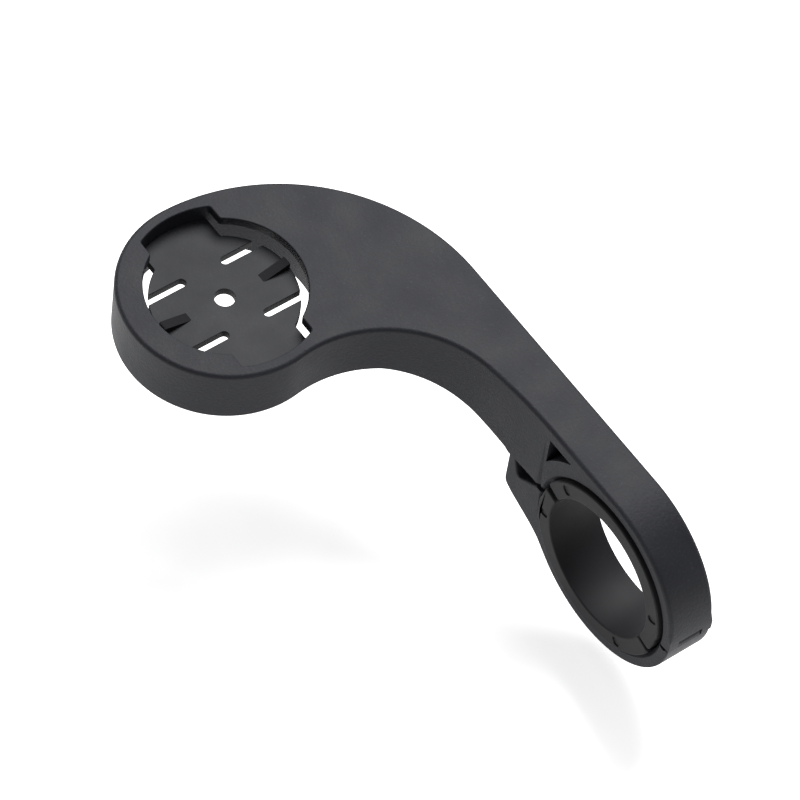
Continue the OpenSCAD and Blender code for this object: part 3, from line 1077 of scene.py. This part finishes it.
def knurl(piece, foot, low_z, high_z, outer_r, depth, ridges):
    """Draws every other column of a turned band in towards its axis."""
    edit(piece, "DESELECT")
    mesh = bmesh.from_edit_mesh(piece.data)
    for v in mesh.verts:
        out = (v.co - foot).xy
        column = round(ridges * math.atan2(out.x, out.y) / math.pi)
        in_band = low_z < v.co.z < high_z and out.length > outer_r - depth
        v.select_set(in_band and column % 2 == 1)
    bmesh.update_edit_mesh(piece.data)
    drawn_in = 1 - depth / outer_r
    bpy.ops.transform.resize(value=(drawn_in, drawn_in, 1), center_override=foot)
    close_edit()


def hexagon_key(foot, low_z, t):
    """The cutter for the screw's hexagon socket."""
    deselect_all()
    corner_r = t.hex_af / math.sqrt(3)
    place = foot + UP * low_z
    bpy.ops.mesh.primitive_cylinder_add(vertices=6, radius=corner_r, depth=2 * t.hex_deep, location=place)
    key = named("key")
    bpy.ops.object.transform_apply(location=True, rotation=True, scale=True)
    return key


class MOUNT_OT_screw(bpy.types.Operator):
    """Builds the socket-head screw with its thread, knurled head and hexagon socket"""

    bl_idname = "mount.screw"
    bl_label = "Clamp screw"

    def execute(self, context):
        t, f = context.scene.mount_fasteners, context.scene.mount_finish
        low, high = F.screw
        foot = box_middle(low, high)
        head_r, thread_r = (high.x - low.x) / 2, t.thread_r
        shoulder = low.z + t.head_h
        edge = t.chamfer
        profile = [
            (low.z, 0),
            (low.z, head_r - edge),
            (low.z + edge, head_r),
            (low.z + 2 * edge, head_r),
            (shoulder - 2 * edge, head_r),
            (shoulder - edge, head_r),
            (shoulder, head_r - edge),
            (shoulder, 0),
        ]
        head = lathe("screw", foot, UP, FORWARD, profile, 2 * t.knurls)
        rod = thread(
            "thread", foot, shoulder - 0.3 * MM, high.z, thread_r, t.pitch, t.thread_depth, t.thread_start
        )
        tip = [
            (shoulder - MM, 0),
            (shoulder - MM, thread_r + MM),
            (high.z - 3 * edge, thread_r + MM),
            (high.z - 3 * edge, thread_r + edge),
            (high.z, thread_r - 2 * edge),
            (high.z, 0),
        ]
        combine(rod, lathe("tip", foot, UP, FORWARD, tip, 48), "INTERSECT")
        # joined while the head is still plain, because a join to the knurled head doesn't always hold
        combine(head, rod, "UNION")
        band = (low.z + 1.5 * edge, shoulder - 1.5 * edge)
        knurl(head, foot, *band, head_r, t.head_knurl, t.knurls)
        combine(head, hexagon_key(foot, low.z, t))
        # black oxide leaves the turned steel dark, with a dull oily sheen
        oxide = worked_metal(
            "black oxide steel", f.oxide, roughness=0.38, stretch=(1, 1, 4), depth=0.004 * MM
        )
        finish_piece(head, "screw", "screw_black_steel", oxide, "clamp_screw")
        return {"FINISHED"}


def build_washer(t, f):
    """The flat washer with softened edges."""
    low, high = F.washer
    outer, inner, edge = (high.x - low.x) / 2, t.washer_hole_r, t.chamfer / 2
    profile = [
        (low.z, inner),
        (low.z, outer - edge),
        (low.z + edge, outer),
        (high.z - edge, outer),
        (high.z, outer - edge),
        (high.z, inner),
        (low.z, inner),
    ]
    ring = lathe("washer", box_middle(low, high), UP, FORWARD, profile, 64)
    # stamped sheet, tumbled bright
    steel = worked_metal(
        "stamped stainless steel", f.steel, roughness=0.3, stretch=(1, 1, 6), depth=0.003 * MM
    )
    finish_piece(ring, "washer", "washer_steel", steel, "screw_washer")


def build_insert(t, f):
    """The threaded insert: two knurled bands with a plain neck between them."""
    corner, far_corner = F.insert
    foot, outer = box_middle(corner, far_corner), (far_corner.x - corner.x) / 2
    low, high = corner.z, far_corner.z
    edge, inner, neck = t.chamfer, t.insert_hole_r, outer - 0.35 * MM
    band_r = outer - TOUCH
    third = (high - low) / 3
    profile = [(low, inner + edge), (low, outer - edge)]
    for start, end in ((low, low + third), (high - third, high)):
        profile += [(start + edge, band_r), (end - edge, band_r), (end, neck)]
        if end < high:
            profile += [(high - third, neck)]
    profile += [(high, inner + edge), (high - edge, inner), (low + edge, inner), (low, inner + edge)]
    insert = lathe("insert", foot, UP, FORWARD, profile, 2 * t.knurls)
    knurl(insert, foot, low + edge / 2, high - edge / 2, outer, t.insert_knurl, t.knurls)
    # brass straight off the lathe, bright between its tool marks
    brass = worked_metal("turned brass", f.brass, roughness=0.28, stretch=(1, 1, 6), depth=0.004 * MM)
    finish_piece(insert, "mount_body", "insert_brass", brass, "thread_insert")


def build_pin(t, f):
    """The hinge pin, chamfered at both ends."""
    low, high = F.pin
    radius, edge = (high.z - low.z) / 2, 1.2 * t.chamfer
    profile = [
        (low.x, 0),
        (low.x, radius - edge),
        (low.x + edge, radius),
        (high.x - edge, radius),
        (high.x, radius - edge),
        (high.x, 0),
    ]
    pin = lathe("pin", F.hinge, ALONG_BAR, FORWARD, profile, 48)
    # centreless ground bar, almost a mirror
    ground = worked_metal(
        "ground stainless steel", f.steel, roughness=0.22, stretch=(6, 1, 1), depth=0.002 * MM
    )
    finish_piece(pin, "mount_body", "pin_steel", ground, "hinge_pin")


class MOUNT_OT_small_metal(bpy.types.Operator):
    """Builds the washer under the screw's head, the brass insert and the hinge pin"""

    bl_idname = "mount.small_metal"
    bl_label = "Washer, insert and pin"

    def execute(self, context):
        t, f = context.scene.mount_fasteners, context.scene.mount_finish
        build_washer(t, f)
        build_insert(t, f)
        build_pin(t, f)
        return {"FINISHED"}


# ---------------------------------------------------------------- the stage


def add_camera(scene, v):
    """The camera, turned to look ahead with its up direction upwards in the picture."""
    deselect_all()
    bpy.ops.object.camera_add(location=v.place)
    camera = bpy.context.object
    ahead = Vector(v.ahead).normalized()
    right = ahead.cross(Vector(v.up)).normalized()
    up = right.cross(ahead)
    camera.rotation_euler = Matrix((right, up, -ahead)).transposed().to_euler()
    camera.data.lens = v.lens
    camera.data.sensor_width = v.sensor
    camera.data.clip_end = 20
    scene.camera = camera


def add_floor(v, low, middle):
    """A lit white acrylic table, clear of the jaw and the screw when the clamp is open."""
    deselect_all()
    bpy.ops.mesh.primitive_plane_add(size=6, location=(middle.x, middle.y, low.z - v.floor_drop))
    floor = named("floor")
    bpy.ops.object.transform_apply(location=True, rotation=True, scale=True)
    # its own light makes the table almost white, so that only faint shadows are left on it
    acrylic, _, shader, _ = new_material("white acrylic light table", v.floor, 0.9)
    shader.inputs["Emission Color"].default_value = linear(v.floor)
    shader.inputs["Emission Strength"].default_value = v.floor_glow
    floor.data.materials.append(acrylic)
    floor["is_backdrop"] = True


def add_key_light(v, middle):
    """A soft square light that faces the mount."""
    deselect_all()
    bpy.ops.object.light_add(type="AREA", location=v.key_place)
    lamp = bpy.context.object
    lamp.name = "key"
    lamp.data.shape = "SQUARE"
    lamp.data.size = v.key_size
    lamp.data.energy = v.key_power
    lamp.rotation_euler = (middle - Vector(v.key_place)).to_track_quat("-Z", "Y").to_euler()


def add_room(scene, v):
    """Even white light from all round."""
    world = bpy.data.worlds.new("white room")
    world.use_nodes = True
    backdrop = world.node_tree.nodes["Background"]
    backdrop.inputs["Color"].default_value = (1, 1, 1, 1)
    backdrop.inputs["Strength"].default_value = v.room_light
    scene.world = world


class MOUNT_OT_stage(bpy.types.Operator):
    """Sets the camera, the soft studio light and the plain pale floor"""

    bl_idname = "mount.stage"
    bl_label = "Stage"

    def execute(self, context):
        scene, v = context.scene, context.scene.mount_studio
        low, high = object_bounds()
        middle = (low + high) / 2
        add_camera(scene, v)
        add_floor(v, low, middle)
        add_key_light(v, middle)
        add_room(scene, v)
        scene.view_settings.view_transform = "Standard"
        return {"FINISHED"}


# ---------------------------------------------------------------- the add-on


class MOUNT_PT_pieces(bpy.types.Panel):
    """Lists the steps that build the mount, and the sizes and colours they use"""

    bl_idname = "MOUNT_PT_pieces"
    bl_label = "Handlebar mount"
    bl_space_type = "VIEW_3D"
    bl_region_type = "UI"
    bl_category = "Mount"

    def draw(self, context):
        for step in STEPS:
            self.layout.operator(step.bl_idname)
        for name, group in SETTINGS.items():
            box = self.layout.box()
            box.label(text=group.__doc__)
            for value in group.__annotations__:
                box.prop(getattr(context.scene, name), value)


SETTINGS = {
    "mount_arm": ArmSizes,
    "mount_socket": SocketSizes,
    "mount_clamp": ClampSizes,
    "mount_fasteners": FastenerSizes,
    "mount_finish": Finish,
    "mount_studio": Studio,
}
STEPS = (
    MOUNT_OT_arm,
    MOUNT_OT_socket_floor,
    MOUNT_OT_clamp_jaw,
    MOUNT_OT_liner,
    MOUNT_OT_screw,
    MOUNT_OT_small_metal,
    MOUNT_OT_stage,
)


def register():
    """Registers the classes and gives the scene its settings."""
    for group in SETTINGS.values():
        bpy.utils.register_class(group)
    for name, group in SETTINGS.items():
        setattr(bpy.types.Scene, name, PointerProperty(type=group))
    for step in STEPS:
        bpy.utils.register_class(step)
    bpy.utils.register_class(MOUNT_PT_pieces)


def unregister():
    """Takes away what register added."""
    bpy.utils.unregister_class(MOUNT_PT_pieces)
    for step in reversed(STEPS):
        bpy.utils.unregister_class(step)
    for name, group in SETTINGS.items():
        delattr(bpy.types.Scene, name)
        bpy.utils.unregister_class(group)


def main():
    """Builds the mount and its stage."""
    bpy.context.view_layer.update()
    register()
    bpy.ops.mount.arm()
    bpy.ops.mount.socket_floor()
    bpy.ops.mount.clamp_jaw()
    bpy.ops.mount.liner()
    bpy.ops.mount.screw()
    bpy.ops.mount.small_metal()
    bpy.ops.mount.stage()


if __name__ == "__main__":
    main()
